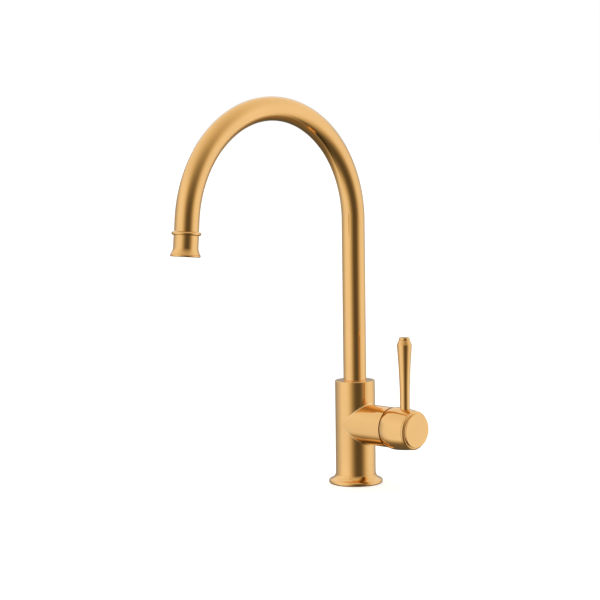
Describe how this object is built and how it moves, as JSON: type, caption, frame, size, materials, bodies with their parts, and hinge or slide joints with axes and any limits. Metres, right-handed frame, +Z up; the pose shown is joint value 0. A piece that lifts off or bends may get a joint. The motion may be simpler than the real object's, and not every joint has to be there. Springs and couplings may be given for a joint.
{
  "type": "pull down kitchen faucet",
  "caption": "Gooseneck faucet on a round body, with one side lever on a short barrel and a small flared outlet head that pulls down on a hose.",
  "frame": {"origin": "centre of the base on the deck plane, under the upright body", "axes": "+Z up along the body and riser; the spout reaches towards -Y; the lever barrel points towards +X"},
  "size_m": [0.1198, 0.2883, 0.4212],
  "materials": {
    "brass_satin": "satin brushed gold-coloured brass",
    "brass_raw": "plain turned brass",
    "rubber_black": "matt black rubber",
    "plastic_white": "off-white engineering plastic",
    "plastic_black": "black engineering plastic",
    "steel": "stainless steel",
    "magnet": "nickel-plated magnet",
    "ceramic": "ground white ceramic",
    "hose_braid": "grey woven nylon over a rubber tube"
  },
  "bodies": {
    "body": {"body_casting": "brass_satin", "barrel": "brass_satin", "base_ring": "brass_satin", "deck_gasket": "rubber_black", "swivel_bush": "plastic_white", "swivel_trim": "brass_satin", "thrust_washer": "plastic_white", "spout_stop_screw": "steel", "cartridge_base": "plastic_white", "port_seals": "rubber_black", "fixed_disc": "ceramic", "cartridge_housing": "plastic_white", "cartridge_nut": "brass_raw"},
    "spout": {"spout_tube": "brass_satin", "spout_tip": "brass_satin", "spout_spigot": "brass_raw", "spigot_seals": "rubber_black", "dock_collar": "plastic_white", "dock_magnet": "magnet", "spray_hose": "hose_braid"},
    "hose_end": {"hose_ferrule": "steel"},
    "head": {"head_shell": "brass_satin", "head_nose": "plastic_black", "keeper_ring": "steel", "check_valve": "plastic_white", "head_seal": "rubber_black", "aerator_housing": "plastic_white", "aerator_screen": "steel", "aerator_grid": "plastic_white"},
    "rotor": {"spindle_guide": "plastic_white", "pivot_pin": "steel"},
    "handle": {"spindle": "brass_raw", "handle_shell": "brass_satin", "cap_ring": "brass_satin", "handle_cap": "brass_satin", "grub_screw": "steel", "lever_stem": "brass_satin", "lever_finial": "brass_satin"},
    "disc": {"moving_disc": "ceramic", "disc_carrier": "plastic_white"}
  },
  "joints": [
    {"name": "spout_swivel", "type": "hinge", "parent": "body", "child": "spout", "pos_m": [0, 0, 0.2], "axis": [0, 0, 1], "continuous": true},
    {"name": "head_pull", "type": "slide", "parent": "spout", "child": "hose_end", "axis": [0, -0.0872, -0.9962], "range_m": [0, 0.21], "deforming": ["spray_hose"]},
    {"name": "head_spin", "type": "hinge", "parent": "hose_end", "child": "head", "pos_m": [0, -0.24034, 0.29879], "axis": [0, -0.0872, -0.9962], "continuous": true},
    {"name": "lever_turn", "type": "hinge", "parent": "body", "child": "rotor", "pos_m": [0.063, 0, 0.0664], "axis": [1, 0, 0], "range_deg": [-45, 45]},
    {"name": "lever_tilt", "type": "hinge", "parent": "rotor", "child": "handle", "pos_m": [0.063, 0, 0.0664], "axis": [0, 1, 0], "range_deg": [0, 20]},
    {"name": "disc_slide", "type": "slide", "parent": "rotor", "child": "disc", "axis": [0, 0, 1], "range_m": [0, 0.0039]}
  ],
  "couplings": [
    {"joint": "disc_slide", "follows": "lever_tilt", "m_per_rad": 0.01085}
  ]
}
